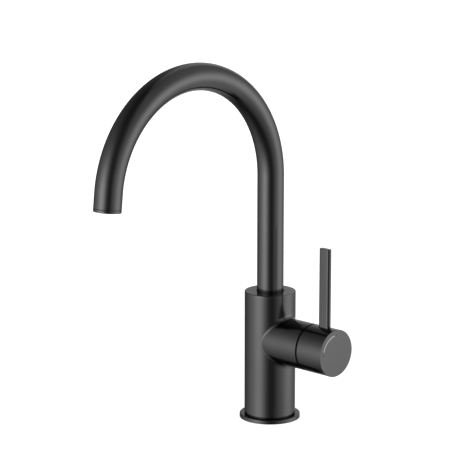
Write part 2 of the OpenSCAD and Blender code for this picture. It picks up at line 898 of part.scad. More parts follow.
module handle_cap() {
    mark_gap_angle = seat_gap / mark_radius * 180 / PI;
    color(black)
        difference() {
            cap_blank();
            pivot_sphere(cap_rho);
            cap_hollow();
            translate([square_x0 - square_lead, -square_w / 2 - seat_gap, boss_z - square_w / 2 - seat_gap])
                cube([square_l + square_lead + slide_gap, square_w + 2 * seat_gap, square_w + 2 * seat_gap]);
            lever_rail(seat_gap, lever_foot - seat_gap, boss_r + cut);
            translate([cap_screw_x, 0, boss_z - boss_r - cut])
                cylinder(r = cap_screw_r + seat_gap, h = boss_r + cut);
            face_arc(mark_radius + mark_w / 2 + seat_gap, mark_radius - mark_w / 2 - seat_gap,
                mark_start - mark_gap_angle, mark_end + mark_gap_angle, mark_x, face_x + cut);
            for (angle = dot_angles)
                face_dot(angle, dot_d / 2 + seat_gap, mark_x, face_x + cut);
        }
}

// Upright bar with two round edges, grown by a gap, between two heights above the boss's axis
module lever_rail(gap, z0, z1) {
    translate([lever_x0 + lever_r, 0, boss_z + z0]) {
        for (x = [0, lever_w - lever_t])
            translate([x, 0, 0])
                cylinder(r = lever_r + gap, h = z1 - z0);
        translate([0, -lever_r - gap, 0])
            cube([lever_w - lever_t, lever_t + 2 * gap, z1 - z0]);
    }
}

// Chamfered end of the lever, seen along the boss's axis
module lever_end_section() {
    polygon([
        [-lever_r, 0], [lever_r, 0],
        [lever_r - lever_chamfer, lever_chamfer], [lever_chamfer - lever_r, lever_chamfer]
    ]);
}

module lever_bar() {
    color(black)
        union() {
            lever_rail(0, lever_foot, lever_top - lever_chamfer);
            translate([lever_x0 + lever_r, 0, boss_z + lever_top - lever_chamfer]) {
                for (x = [0, lever_w - lever_t])
                    translate([x, 0, 0])
                        cylinder(r1 = lever_r, r2 = lever_r - lever_chamfer, h = lever_chamfer);
                rotate([90, 0, 90])
                    linear_extrude(height = lever_w - lever_t)
                        lever_end_section();
            }
        }
}

module indicator_arc() {
    color(steel)
        face_arc(mark_radius + mark_w / 2, mark_radius - mark_w / 2, mark_start, mark_end,
            mark_x, face_x + seat_gap);
}

module cold_mark() {
    color(blue)
        face_dot(dot_angles[0], dot_d / 2, mark_x, face_x + seat_gap);
}

module hot_mark() {
    color(red)
        face_dot(dot_angles[1], dot_d / 2, mark_x, face_x + seat_gap);
}

module handle_screw() {
    tip = square_w / 2 + seat_gap;
    color(steel)
        translate([cap_screw_x, 0, boss_z - tip - cap_screw_l])
            difference() {
                cylinder(r = cap_screw_r, h = cap_screw_l);
                translate([0, 0, -cut])
                    cylinder(r = cap_screw_r * hex_share, h = hex_depth + cut, $fn = 6);
            }
}

module handle_plug() {
    color(rubber)
        translate([cap_screw_x, 0, boss_z - plug_top])
            cylinder(r = cap_screw_r, h = plug_h);
}

base_flange();
base_gasket();
column_body();
inlet_block();
inlet_seals();
spout_bush();
spout_screw();
spout_tube();
spout_foot();
spout_orings();
spout_glide_ring();
aerator_housing();
aerator_insert();
aerator_screen();
aerator_washer();
cartridge_base();
port_seals();
fixed_disc();
moving_disc();
disc_carrier();
cartridge_housing();
lever_yoke();
pivot_pin();
cartridge_nut();
dome_cover();
spindle();
handle_cap();
lever_bar();
indicator_arc();
cold_mark();
hot_mark();
handle_screw();
handle_plug();
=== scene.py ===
"""Looks of a basin mixer tap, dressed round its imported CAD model.

Sizes are in millimetres in the tap's own frame, with +Z up, the spout towards -Y and the
handle's boss towards +X. They become metres where a mesh is made.
"""

import json
import logging
import math
from dataclasses import dataclass, replace
from enum import Enum
from typing import Callable, Dict, List, Optional, Sequence, Tuple, Union

import bmesh
import bpy
import numpy as np
from mathutils import Matrix


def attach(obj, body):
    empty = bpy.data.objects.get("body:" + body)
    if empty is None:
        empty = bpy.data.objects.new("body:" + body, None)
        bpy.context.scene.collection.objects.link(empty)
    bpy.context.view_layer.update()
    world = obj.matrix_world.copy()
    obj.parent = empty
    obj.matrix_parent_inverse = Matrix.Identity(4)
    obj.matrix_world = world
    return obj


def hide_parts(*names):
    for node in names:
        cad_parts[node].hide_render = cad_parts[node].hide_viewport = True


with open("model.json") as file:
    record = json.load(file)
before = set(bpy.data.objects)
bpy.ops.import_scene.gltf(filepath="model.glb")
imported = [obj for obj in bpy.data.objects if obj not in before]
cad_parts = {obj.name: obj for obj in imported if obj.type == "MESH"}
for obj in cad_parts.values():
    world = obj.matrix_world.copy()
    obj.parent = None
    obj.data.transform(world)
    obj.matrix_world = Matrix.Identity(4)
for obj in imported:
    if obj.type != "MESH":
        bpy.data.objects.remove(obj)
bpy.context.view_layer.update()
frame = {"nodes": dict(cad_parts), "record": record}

log = logging.getLogger("tap")
MM = 0.001
TURN = 2.0 * math.pi
# Points that are closer than this, in metres, become one
WELD = 1e-6
# Distance of a support point from the end of a rounding
SUPPORT = 0.06
# Distance to a corner that only gives an outline its first direction
LEAD = 1.0
# Angle in degrees past which an edge stays sharp
CREASE = 40.0
# Patches of tone in a metre, and where the two tones stand on their ramp
TONE_SCALE = 28.0
TONE_STOPS = (0.3, 0.7)

Pair = Tuple[float, float]
Triple = Tuple[float, float, float]
Array = np.ndarray
Arrays = Tuple[Array, Array]
Surface = Tuple[Array, Array]
Outline = Callable[[Array], Arrays]
Inputs = Dict[Union[str, int], object]
Socket = bpy.types.NodeSocket


def unit(vector: Sequence[float]) -> Array:
    """Returns the vector with its length made 1."""
    values = np.asarray(vector, float)
    return values / np.linalg.norm(values)


@dataclass(frozen=True)
class Lathe:
    """Axis that profiles are turned about.

    A place is given as a radius, an angle and a height: origin + radius (cos angle first +
    sin angle second) + height axis.
    """

    origin: Triple
    first: Triple
    second: Triple
    axis: Triple

    def place(self, radius: Array, angle: Array, height: Array) -> Array:
        """Returns the points for arrays of radius, angle and height that broadcast together.

        Args:
            radius: Distances from the axis.
            angle: Angles from the first direction towards the second, in radians.
            height: Distances along the axis.

        Returns:
            The points, with a last dimension of 3.
        """
        radius, angle, height = np.broadcast_arrays(radius, angle, height)
        return (
            np.asarray(self.origin)
            + (radius * np.cos(angle))[..., None] * np.asarray(self.first)
            + (radius * np.sin(angle))[..., None] * np.asarray(self.second)
            + height[..., None] * np.asarray(self.axis)
        )

    def carry(self, outline: Array, angles: Array) -> Array:
        """Returns rows of radius and height, each carried round the axis to the angles."""
        return self.place(outline[:, :1], angles[None, :], outline[:, 1:])


UPRIGHT = Lathe((0, 0, 0), (1, 0, 0), (0, 1, 0), (0, 0, 1))
BOSS_Z = 68.0
SIDEWAYS = Lathe((0, 0, BOSS_Z), (0, 1, 0), (0, 0, 1), (1, 0, 0))


def sheet_of(points: Array, closed: bool) -> Surface:
    """Turns a grid of points into a surface of four-sided faces.

    Args:
        points: Grid of points, rows by columns by 3.
        closed: Whether the last column joins the first.

    Returns:
        The points as a list and the faces as rows of four indices.
    """
    rows, columns = points.shape[:2]
    across = columns if closed else columns - 1
    start = np.arange(rows - 1)[:, None] * columns
    left = start + np.arange(across)[None, :]
    right = start + (np.arange(across)[None, :] + 1) % columns
    faces = np.stack([left, right, right + columns, left + columns], axis=-1)
    return points.reshape(-1, 3), faces.reshape(-1, 4)


def joined(surfaces: Sequence[Surface]) -> Surface:
    """Joins surfaces and renumbers their faces.

    Args:
        surfaces: The surfaces.

    Returns:
        One surface with all their points and faces.
    """
    starts = np.cumsum([0] + [len(points) for points, _ in surfaces[:-1]])
    points = np.concatenate([points for points, _ in surfaces])
    faces = np.concatenate([faces + start for (_, faces), start in zip(surfaces, starts)])
    return points, faces


def make_piece(name: str, surfaces: Sequence[Surface]) -> bpy.types.Object:
    """Makes a closed mesh object from surfaces whose edges meet.

    Points closer than a thousandth of a millimetre become one, a face that loses a corner
    becomes a triangle, and the faces are turned outwards.

    Args:
        name: Name of the piece.
        surfaces: Surfaces in millimetres that together enclose the piece.

    Returns:
        The new object, at the origin, with its place in its mesh.
    """
    points, faces = joined(surfaces)
    places = points * MM
    _, first, index = np.unique(
        np.round(places / WELD).astype(np.int64), axis=0, return_index=True, return_inverse=True
    )
    faces = index.reshape(-1)[faces]
    doubled = faces == np.roll(faces, -1, axis=1)
    count = doubled.sum(axis=1)
    quads = faces[count == 0]
    triangles = np.concatenate(
        [np.delete(faces[(count == 1) & doubled[:, k]], k, axis=1) for k in range(4)]
    )
    mesh = bpy.data.meshes.new(name)
    mesh.vertices.add(len(first))
    mesh.vertices.foreach_set("co", places[first].astype(np.float32).ravel())
    corners = np.concatenate([quads.ravel(), triangles.ravel()]).astype(np.int32)
    sizes = np.concatenate([np.full(len(quads), 4), np.full(len(triangles), 3)])
    mesh.loops.add(len(corners))
    mesh.loops.foreach_set("vertex_index", corners)
    mesh.polygons.add(len(sizes))
    mesh.polygons.foreach_set("loop_start", (np.cumsum(sizes) - sizes).astype(np.int32))
    mesh.update(calc_edges=True)
    mesh.validate()
    shell = bmesh.new()
    shell.from_mesh(mesh)
    bmesh.ops.recalc_face_normals(shell, faces=shell.faces)
    shell.to_mesh(mesh)
    shell.free()
    mesh.shade_smooth()
    mesh.set_sharp_from_angle(angle=math.radians(CREASE))
    piece = bpy.data.objects.new(name, mesh)
    bpy.context.scene.collection.objects.link(piece)
    return piece


def rounded(corners: Sequence[Triple], closed: bool = True, steps: int = 7) -> Array:
    """Rounds the corners of an outline.

    Each corner is replaced by an arc that touches both of its sides. A support point stands
    just outside each end of the arc, so that the sides shade flat.

    Args:
        corners: Rows of radius, height and rounding.
        closed: Whether the last corner joins the first.
        steps: Spans of each arc.

    Returns:
        Rows of radius and height. A closed outline ends with its first row again.
    """
    place = np.array([(r, h) for r, h, _ in corners], float)
    size = np.array([f for _, _, f in corners], float)
    rows: List[Array] = []
    for k, (here, fillet) in enumerate(zip(place, size)):
        inner = closed or 0 < k < len(place) - 1
        if not inner or fillet <= 0:
            rows.append(here[None])
            continue
        before = unit(place[k - 1] - here)
        after = unit(place[(k + 1) % len(place)] - here)
        half = 0.5 * math.acos(float(np.clip(before @ after, -1, 1)))
        reach = fillet / math.tan(half)
        centre = here + unit(before + after) * (fillet / math.sin(half))
        start = here + before * reach - centre
        end = here + after * reach - centre
        share = np.linspace(0, 1, steps + 1)[:, None]
        span = math.pi - 2 * half
        swing = np.sin((1 - share) * span) * start + np.sin(share * span) * end
        arc = centre + swing / math.sin(span)
        support = min(SUPPORT, 0.3 * fillet)
        rows += [(here + before * (reach + support))[None], arc,
                 (here + after * (reach + support))[None]]
    outline = np.concatenate(rows)
    return np.concatenate([outline, outline[:1]]) if closed else outline


def turned(lathe: Lathe, outline: Array, columns: int) -> Surface:
    """Returns an outline of radius and height turned about an axis, in equal columns."""
    angles = np.linspace(0, TURN, columns, endpoint=False)
    return sheet_of(lathe.carry(outline, angles), closed=True)


@dataclass(frozen=True)
class Window:
    """Opening in a sleeve, which the sleeve's grid runs round.

    The cells within half_angle and half_height of its middle are left out of the grid.
    The edge gives the opening's outline as angle and height for an array of directions,
    where direction 0 points to growing angle and a quarter turn to growing height.
    """

    angle: float
    height: float
    half_angle: float
    half_height: float
    edge: Outline
    rings: int = 5


def cut_lines(breaks: Sequence[float], step: float) -> Array:
    """Cuts a stretch into spans of about one step.

    Args:
        breaks: Places that lines must run through, the stretch's ends among them.
        step: Wanted distance between lines.

    Returns:
        The places of the lines in order.
    """
    ends = np.unique(np.round(np.asarray(breaks, float), 9))
    spans = [
        np.linspace(a, b, max(1, int(math.ceil((b - a) / step))), endpoint=False)
        for a, b in zip(ends[:-1], ends[1:])
        if b - a > 1e-7
    ]
    return np.append(np.concatenate(spans), ends[-1])


@dataclass
class Sleeve:
    """Cylinder wall between two heights, with windows.

    Its grid of angle by height leaves out each window's cells, and a ring of cells runs
    from the window's frame to its edge, in straight steps on the unrolled wall.
    """

    lathe: Lathe
    radius: float
    low: float
    high: float
    windows: Sequence[Window]
    angle_step: float = TURN / 120
    height_step: float = 3.0

    def lines(self) -> Arrays:
        """Places the grid's lines so that they frame each window.

        Returns:
            The angles over one turn, and the heights.
        """
        start = self.windows[0].angle - self.windows[0].half_angle
        sides = [w.angle + s * w.half_angle for w in self.windows for s in (-1, 1)]
        breaks = [start + (side - start) % TURN for side in sides] + [start, start + TURN]
        levels = [w.height + s * w.half_height for w in self.windows for s in (-1, 1)]
        heights = cut_lines([self.low, self.high] + levels, self.height_step)
        return cut_lines(breaks, self.angle_step), heights

    def frames(self) -> List[Tuple[Array, Array, Array]]:
        """Walks round the frame of cells that each window leaves out.

        Returns:
            For each window the angles and heights of the frame's points, and the points'
            directions from the window's middle.
        """
        angles, heights = self.lines()
        found = []
        for window in self.windows:
            start = angles[0] + (window.angle - window.half_angle - angles[0] + 1e-6) % TURN - 1e-6
            i0 = int(np.argmin(np.abs(angles - start)))
            i1 = int(np.argmin(np.abs(angles - start - 2 * window.half_angle)))
            j0 = int(np.argmin(np.abs(heights - window.height + window.half_height)))
            j1 = int(np.argmin(np.abs(heights - window.height - window.half_height)))
            across, up = angles[i0 : i1 + 1], heights[j0 : j1 + 1]
            grid = np.stack(np.meshgrid(across, up), axis=-1)
            a, h = np.concatenate(
                [grid[0, :-1], grid[:-1, -1], grid[-1, :0:-1], grid[:0:-1, 0]]
            ).T
            middle = start + window.half_angle
            direction = np.arctan2((h - window.height) / window.half_height,
                                   (a - middle) / window.half_angle)
            found.append((a, h, direction))
        return found

    def surface(self) -> Surface:
        """Fills the wall round its windows.

        A rim point at share t lies at edge + t (frame - edge), in angle and in height.

        Returns:
            The wall, with its windows left open.
        """
        angles, heights = self.lines()
        grid = self.lathe.place(self.radius, angles[None, :], heights[:, None])
        points, faces = sheet_of(grid, closed=False)
        middle_angle = np.tile((angles[:-1] + angles[1:]) / 2, len(heights) - 1)
        middle_height = np.repeat((heights[:-1] + heights[1:]) / 2, len(angles) - 1)
        kept = np.ones(len(faces), bool)
        rims = []
        for window, (a, h, direction) in zip(self.windows, self.frames()):
            start = a[0]
            inside = ((middle_angle - start) % TURN < 2 * window.half_angle) & (
                np.abs(middle_height - window.height) < window.half_height
            )
            kept &= ~inside
            edge_a, edge_h = window.edge(direction)
            edge_a = edge_a + start + window.half_angle - window.angle
            share = np.linspace(0, 1, window.rings + 1)[:, None]
            rim = self.lathe.place(
                self.radius, edge_a + (a - edge_a) * share, edge_h + (h - edge_h) * share
            )
            rims.append(sheet_of(rim, closed=True))
        return joined([(points, faces[kept])] + rims)

    def skirt(self, outline: Array) -> Surface:
        """Returns an outline turned about the sleeve's axis at the sleeve's own angles."""
        angles, _ = self.lines()
        return sheet_of(self.lathe.carry(outline, angles), closed=False)


def circle(radius: float) -> Outline:
    """Returns the outline of a round hole."""
    return lambda direction: (radius * np.cos(direction), radius * np.sin(direction))


@dataclass(frozen=True)
class Pit:
    """Straight-sided blind hole in a cylinder's wall, square to the cylinder's axis.

    The outline gives the distances across, towards growing angle, and along the axis from
    the hole's middle. The floor is flat, at its own distance from the axis. The window is
    half the angle and half the height that the hole takes out of the wall's grid.
    """

    lathe: Lathe
    radius: float
    angle: float
    height: float
    floor: float
    outline: Outline
    window: Pair
    rows: int = 6

    def opening(self) -> Window:
        """Returns the window that the hole needs in the wall."""
        return Window(self.angle, self.height, *self.window, self.mouth)

    def mouth(self, direction: Array) -> Arrays:
        """Returns the hole's edge on the wall as angle and height."""
        across, along = self.outline(direction)
        return self.angle + np.arcsin(across / self.radius), self.height + along

    def surface(self, direction: Array) -> Surface:
        """Wall and floor of the hole.

        A ring at share t of the depth lies at mouth + t (floor - mouth).

        Args:
            direction: Directions of the outline's points from the hole's middle.

        Returns:
            The surface, which meets the wall at the mouth.
        """
        across, along = self.outline(direction)
        mouth = np.sqrt(self.radius**2 - across**2)
        depth = mouth + (self.floor - mouth) * np.linspace(0, 1, self.rows)[:, None]
        angle = self.angle + np.arctan2(across, depth)
        wall = self.lathe.place(np.hypot(depth, across), angle, self.height + along)
        middle = self.lathe.place(np.full((1, len(across)), self.floor), self.angle, self.height)
        return sheet_of(np.concatenate([wall, middle]), closed=True)


class Grain(Enum):
    """How a finish is worked, which sets its fine pattern."""

    POWDER = "powder"
    LATHE = "lathe"
    MOULDED = "moulded"
    LAPPED = "lapped"


class NodeTree:
    """Short hand for building a shader's nodes."""

    def __init__(self, tree: bpy.types.NodeTree) -> None:
        """Empties the tree and keeps it."""
        self.tree = tree
        tree.nodes.clear()

    def add(
        self, kind: str, inputs: Optional[Inputs] = None, **settings: object
    ) -> bpy.types.Node:
        """Adds a node, sets its properties and fills its inputs.

        Args:
            kind: Blender's name of the node.
            inputs: Values, or sockets to link, by the input's name or number.
            settings: Values by property.

        Returns:
            The node.
        """
        node = self.tree.nodes.new(kind)
        for key, value in settings.items():
            setattr(node, key, value)
        for key, value in (inputs or {}).items():
            if isinstance(value, Socket):
                self.tree.links.new(value, node.inputs[key])
            else:
                node.inputs[key].default_value = value
        return node

    def math(self, operation: str, *values: object) -> Socket:
        """Returns the output of a new Math node on numbers or sockets, in the node's order."""
        return self.add("ShaderNodeMath", dict(enumerate(values)), operation=operation).outputs[0]

    def place(self) -> Socket:
        """Returns the Object coordinates, in metres."""
        return self.add("ShaderNodeTexCoord").outputs["Object"]

    def shown(self) -> Socket:
        """Tells rays that show the studio from rays that only light it.

        Returns:
            1 for camera, glossy and transmission rays, and 0 for the others.
        """
        ray = self.add("ShaderNodeLightPath").outputs
        seen = self.math("MAXIMUM", ray["Is Glossy Ray"], ray["Is Transmission Ray"])
        return self.math("MAXIMUM", ray["Is Camera Ray"], seen)


def blank_material(name: str) -> Tuple[bpy.types.Material, NodeTree]:
    """Makes a material without nodes.

    Args:
        name: Name of the material.

    Returns:
        The material and its empty tree.
    """
    made = bpy.data.materials.new(name)
    made.use_nodes = True
    return made, NodeTree(made.node_tree)


@dataclass(frozen=True)
class Finish:
    """A surface finish as a procedural material on Object coordinates.

    The base colour drifts slowly between two near tones. A fine grain, of grain_size in
    millimetres, moves the roughness and gives a shallow bump. Grazing is the reflection's
    strength at grazing angles.
    """

    name: str
    colour: Triple
    metallic: float
    roughness: float
    grain: Grain
    drift: float = 0.06
    roughness_spread: float = 0.05
    grain_size: float = 0.25
    bump: float = 0.02
    specular: float = 0.5
    grazing: float = 1.0

    def pattern(self, nodes: NodeTree, place: Socket) -> Socket:
        """Returns the fine pattern of the finish, from 0 to 1.

        Args:
            nodes: Tree that the nodes go into.
            place: Object coordinates in metres.

        Returns:
            The pattern's value.
        """
        size = self.grain_size * MM
        grain = nodes.add("ShaderNodeTexNoise", {
            "Vector": place, "Scale": 1.0 / size, "Detail": 3.0, "Roughness": 0.55,
        }, noise_dimensions="3D").outputs["Fac"]
        if self.grain is not Grain.LATHE:
            return grain
        rings = nodes.add("ShaderNodeTexWave", {
            "Vector": place, "Scale": 0.3 / size, "Distortion": 0.6, "Detail": 2.0,
        }, wave_type="RINGS", rings_direction="Z").outputs["Fac"]
        return nodes.math("MULTIPLY_ADD", grain, 0.5, nodes.math("MULTIPLY", rings, 0.5))

    def material(self) -> bpy.types.Material:
        """Builds the material once.

        Returns:
            The material, which later calls find by its name.
        """
        known = bpy.data.materials.get(self.name)
        if known is not None:
            return known
        made, nodes = blank_material(self.name)
        place = nodes.place()
        clouds = nodes.add("ShaderNodeTexNoise", {
            "Vector": place, "Scale": TONE_SCALE, "Detail": 4.0,
        }, noise_dimensions="3D")
        tones = nodes.add("ShaderNodeValToRGB", {"Fac": clouds.outputs["Fac"]})
        shares = (1 - self.drift, 1 + self.drift)
        for tone, position, share in zip(tones.color_ramp.elements, TONE_STOPS, shares):
            tone.position = position
            tone.color = (*(min(1.0, c * share) for c in self.colour), 1)
        pattern = self.pattern(nodes, place)
        spread = nodes.add("ShaderNodeMapRange", {
            "Value": pattern,
            "To Min": self.roughness - self.roughness_spread,
            "To Max": self.roughness + self.roughness_spread,
        })
        relief = nodes.add("ShaderNodeBump", {
            "Height": pattern, "Strength": self.bump, "Distance": self.grain_size * MM,
        })
        shader = nodes.add("ShaderNodeBsdfPrincipled", {
            "Base Color": tones.outputs["Color"],
            "Metallic": self.metallic,
            "Roughness": spread.outputs["Result"],
            "Normal": relief.outputs["Normal"],
            "Specular IOR Level": self.specular,
            "Specular Tint": (self.grazing, self.grazing, self.grazing, 1),
        })
        nodes.add("ShaderNodeOutputMaterial", {"Surface": shader.outputs["BSDF"]})
        return made


FINISHES: Dict[str, Finish] = {
    "black_metal": Finish(
        "satin_black_coat", (0.103, 0.103, 0.105), 1.0, 0.14, Grain.POWDER, drift=0.04,
        roughness_spread=0.02, grain_size=0.3, bump=0.03, grazing=0.75,
    ),
    "rubber": Finish("pressed_rubber", (0.018, 0.018, 0.019), 0.0, 0.62, Grain.MOULDED, bump=0.08),
    "brass": Finish(
        "turned_brass", (0.72, 0.55, 0.27), 1.0, 0.3, Grain.LATHE, grain_size=0.5, bump=0.06
    ),
    "steel": Finish(
        "turned_steel", (0.62, 0.63, 0.64), 1.0, 0.28, Grain.LATHE, grain_size=0.35, bump=0.05
    ),
    "ceramic": Finish(
        "lapped_ceramic", (0.88, 0.86, 0.81), 0.0, 0.18, Grain.LAPPED, drift=0.02, bump=0.01
    ),
    "white_plastic": Finish(
        "moulded_white", (0.82, 0.82, 0.79), 0.0, 0.42, Grain.MOULDED, drift=0.02
    ),
    "grey_plastic": Finish(
        "moulded_grey", (0.36, 0.38, 0.41), 0.0, 0.4, Grain.MOULDED, drift=0.04
    ),
    "black_plastic": Finish(
        "moulded_black", (0.006, 0.006, 0.006), 0.0, 0.5, Grain.MOULDED, bump=0.05, specular=0.1
    ),
    "silver_mark": Finish(
        "silver_inlay", (0.38, 0.38, 0.39), 1.0, 0.25, Grain.LAPPED, drift=0.03, grain_size=0.1
    ),
    "blue_mark": Finish(
        "blue_enamel", (0.06, 0.095, 0.15), 0.0, 0.35, Grain.LAPPED, drift=0.05, grain_size=0.1
    ),
    "red_mark": Finish(
        "red_enamel", (0.14, 0.04, 0.04), 0.0, 0.35, Grain.LAPPED, drift=0.05, grain_size=0.1
    ),
}
# Painted shade: a near-black finish on the dome and on the boss's end, which show only in the seam
# behind the cap, so that the seam reads as a deep shadow
SEAM_SHADE_COAT = Finish(
    "painted_seam_shade", (0.004, 0.004, 0.004), 0.0, 0.8, Grain.POWDER, specular=0.1
)
# The dome cover's node takes the painted seam shade in place of its slot's finish
NODE_PAINTED_SHADE: Dict[str, Finish] = {"dome_cover": SEAM_SHADE_COAT}


@dataclass
class SubAssembly:
    """A group of pieces that ride on one body of the tap."""

    body: str

    def add(self, name: str, slot: str, node: str, *surfaces: Surface) -> bpy.types.Mesh:
        """Makes a piece with its finish and body, and lets it stand for a CAD node.

        Args:
            name: Name of the piece.
            slot: Material slot of the record.
            node: CAD node that the piece replaces.
            surfaces: Surfaces that together enclose it.

        Returns:
            The piece's mesh.
        """
        piece = make_piece(name, surfaces)
        piece.data.materials.append(FINISHES[slot].material())
        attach(piece, self.body)
        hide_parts(node)
        log.info("piece %s: %d faces, rides on %s", name, len(piece.data.polygons), self.body)
        return piece.data


@dataclass
class Base(SubAssembly):
    """Round flange with the shadow groove and the lip that centres the column."""

    body: str = "body"
    flange_r: float = 25.2
    flange_h: float = 3.4
    edge_r: float = 0.8
    groove_r: float = 20.2
    column_z0: float = 4.2
    lip_r: float = 17.97
    lip_z: float = 8.0
    opening_r: float = 15.0
    gasket_in: float = 19.57
    gasket_out: float = 22.43
    gasket_depth: float = 1.93
    columns: int = 192

    def build(self) -> None:
        """Turns the flange's rounded outline about the upright axis."""
        outline = rounded([
            (self.opening_r, 0, 0.2), (self.gasket_in, 0, 0.05),
            (self.gasket_in, self.gasket_depth, 0), (self.gasket_out, self.gasket_depth, 0),
            (self.gasket_out, 0, 0.05), (self.flange_r, 0, 0.15),
            (self.flange_r, self.flange_h, self.edge_r), (self.groove_r, self.flange_h, 0.1),
            (self.groove_r, self.column_z0, 0), (self.lip_r, self.column_z0, 0),
            (self.lip_r, self.lip_z, 0.3), (self.opening_r, self.lip_z, 0.3),
        ])
        self.add("flange", "black_metal", "base_flange", turned(UPRIGHT, outline, self.columns))


@dataclass
class Column(SubAssembly):
    """Round column with the side boss blended into it by a small fillet."""

    body: str = "body"
    radius: float = 21.2
    z0: float = 4.2
    top: float = 107.8
    top_edge: float = 0.6
    foot_chamfer: float = 0.3
    foot_bore_r: float = 18.0
    foot_bore_z: float = 46.0
    bearing_r: float = 11.6
    bearing_z: float = 84.4
    bush_groove: Triple = (12.4, 103.37, 104.93)
    boss_r: float = 19.45
    boss_end: float = 46.05
    boss_edge: float = 0.2
    blend_column: float = 3.9
    blend_boss: float = 2.6
    nut_bore_r: float = 14.98
    nut_bore_x: float = 33.0
    seat_r: float = 12.5
    seat_x: float = 10.0
    screw_z: float = 96.3
    screw_r: float = 2.53
    screw_floor: float = 12.4
    boss_window: Pair = (1.34, 23.9)
    screw_window: Pair = (0.2, 4.3)
    fillet_rows: int = 10
    boss_rows: int = 9
    boss_growth: float = 1.2

    def ball(self, size: float, direction: Array) -> Sequence[Array]:
        """Ball that rolls in the corner between the boss and the column.

        The ball's centre stays its radius outside both cylinders: y and z lie on a circle of
        radius boss_r + size about the boss's axis, and x follows from the distance
        radius + size to the column's axis.

        Args:
            size: Radius of the ball.
            direction: Angles about the boss's axis.

        Returns:
            The centres, and the unit vectors from them to the column and to the boss.
        """
        y = (self.boss_r + size) * np.cos(direction)
        z = (self.boss_r + size) * np.sin(direction)
        x = np.sqrt((self.radius + size) ** 2 - y**2)
        flat = np.zeros_like(x)
        centre = np.stack([x, y, BOSS_Z + z], axis=-1)
        to_column = -np.stack([x, y, flat], axis=-1) / (self.radius + size)
        to_boss = -np.stack([flat, y, z], axis=-1) / (self.boss_r + size)
        return centre, to_column, to_boss

    def boss_mouth(self, direction: Array) -> Arrays:
        """Returns the fillet's edge on the column as angle and height."""
        centre, _, _ = self.ball(self.blend_column, direction)
        return np.arctan2(centre[:, 1], centre[:, 0]), centre[:, 2]

    def boss(self, direction: Array) -> Surface:
        """Boss from the fillet to its end, then its bore down to the cartridge's seat.

        The fillet reaches further on the column than on the boss. It starts where a large
        ball touches the column and ends where a small ball touches the boss, along a
        parabola whose handle is where the tangents of a ball between them meet.

        Args:
            direction: Angles about the boss's axis.

        Returns:
            The fillet, the wall, the end and the bore.
        """
        large, on_column, _ = self.ball(self.blend_column, direction)
        small, _, on_boss = self.ball(self.blend_boss, direction)
        size = 0.5 * (self.blend_column + self.blend_boss)
        middle, to_column, to_boss = self.ball(size, direction)
        cosine = (to_column * to_boss).sum(-1, keepdims=True)
        handle = middle + size * (to_column + to_boss) / (1 + cosine)
        start, end = large + self.blend_column * on_column, small + self.blend_boss * on_boss
        share = np.linspace(0, 1, self.fillet_rows)[:, None, None]
        arc = (1 - share) ** 2 * start + 2 * share * (1 - share) * handle + share**2 * end
        x = small[:, 0]
        reach = np.linspace(0, 1, self.boss_rows)[1:, None] ** self.boss_growth
        wall_x = x + (self.boss_end - self.boss_edge - SUPPORT - x) * reach
        wall = SIDEWAYS.place(self.boss_r, direction[None, :], wall_x)
        outline = rounded([
            (self.boss_r, self.boss_end - LEAD, 0), (self.boss_r, self.boss_end, self.boss_edge),
            (self.nut_bore_r, self.boss_end, 0.25), (self.nut_bore_r, self.nut_bore_x, 0),
            (self.seat_r, self.nut_bore_x, 0), (self.seat_r, self.seat_x, 0), (0, self.seat_x, 0),
        ], closed=False)[2:]
        bore = SIDEWAYS.carry(outline, direction)
        return sheet_of(np.concatenate([arc, wall, bore]), closed=True)

    def build(self) -> None:
        """Joins the wall, the top, the foot, the boss and the screw hole into one piece."""
        hole = Pit(UPRIGHT, self.radius, math.pi / 2, self.screw_z, self.screw_floor,
                   circle(self.screw_r), self.screw_window, rows=5)
        boss = Window(0.0, BOSS_Z, *self.boss_window, self.boss_mouth, rings=9)
        sleeve = Sleeve(UPRIGHT, self.radius, self.z0 + self.foot_chamfer,
                        self.top - self.top_edge, (boss, hole.opening()))
        groove_r, groove_low, groove_high = self.bush_groove
        top = rounded([
            (self.radius, self.top - LEAD, 0), (self.radius, self.top, self.top_edge),
            (self.bearing_r, self.top, 0.25), (self.bearing_r, groove_high, 0),
            (groove_r, groove_high, 0), (groove_r, groove_low, 0), (self.bearing_r, groove_low, 0),
            (self.bearing_r, self.bearing_z, 0), (0, self.bearing_z, 0),
        ], closed=False)[2:]
        foot = rounded([
            (self.radius, self.z0 + self.foot_chamfer, 0),
            (self.radius - self.foot_chamfer, self.z0, 0), (self.foot_bore_r, self.z0, 0.2),
            (self.foot_bore_r, self.foot_bore_z, 0), (0, self.foot_bore_z, 0),
        ], closed=False)
        (_, _, round_boss), (_, _, round_screw) = sleeve.frames()
        column = self.add(
            "column", "black_metal", "column_body", sleeve.surface(), sleeve.skirt(top),
            sleeve.skirt(foot), self.boss(round_boss), hole.surface(round_screw),
        )
        # Painted shade: the boss's end face and its bore take the near-black seam shade as the
        # second material
        column.materials.append(SEAM_SHADE_COAT.material())
        centres = np.empty(3 * len(column.polygons), np.float32)
        column.polygons.foreach_get("center", centres)
        inside = centres.reshape(-1, 3)[:, 0] > (self.boss_end - 0.5 * self.boss_edge) * MM
        column.polygons.foreach_set("material_index", inside.astype(np.int32))


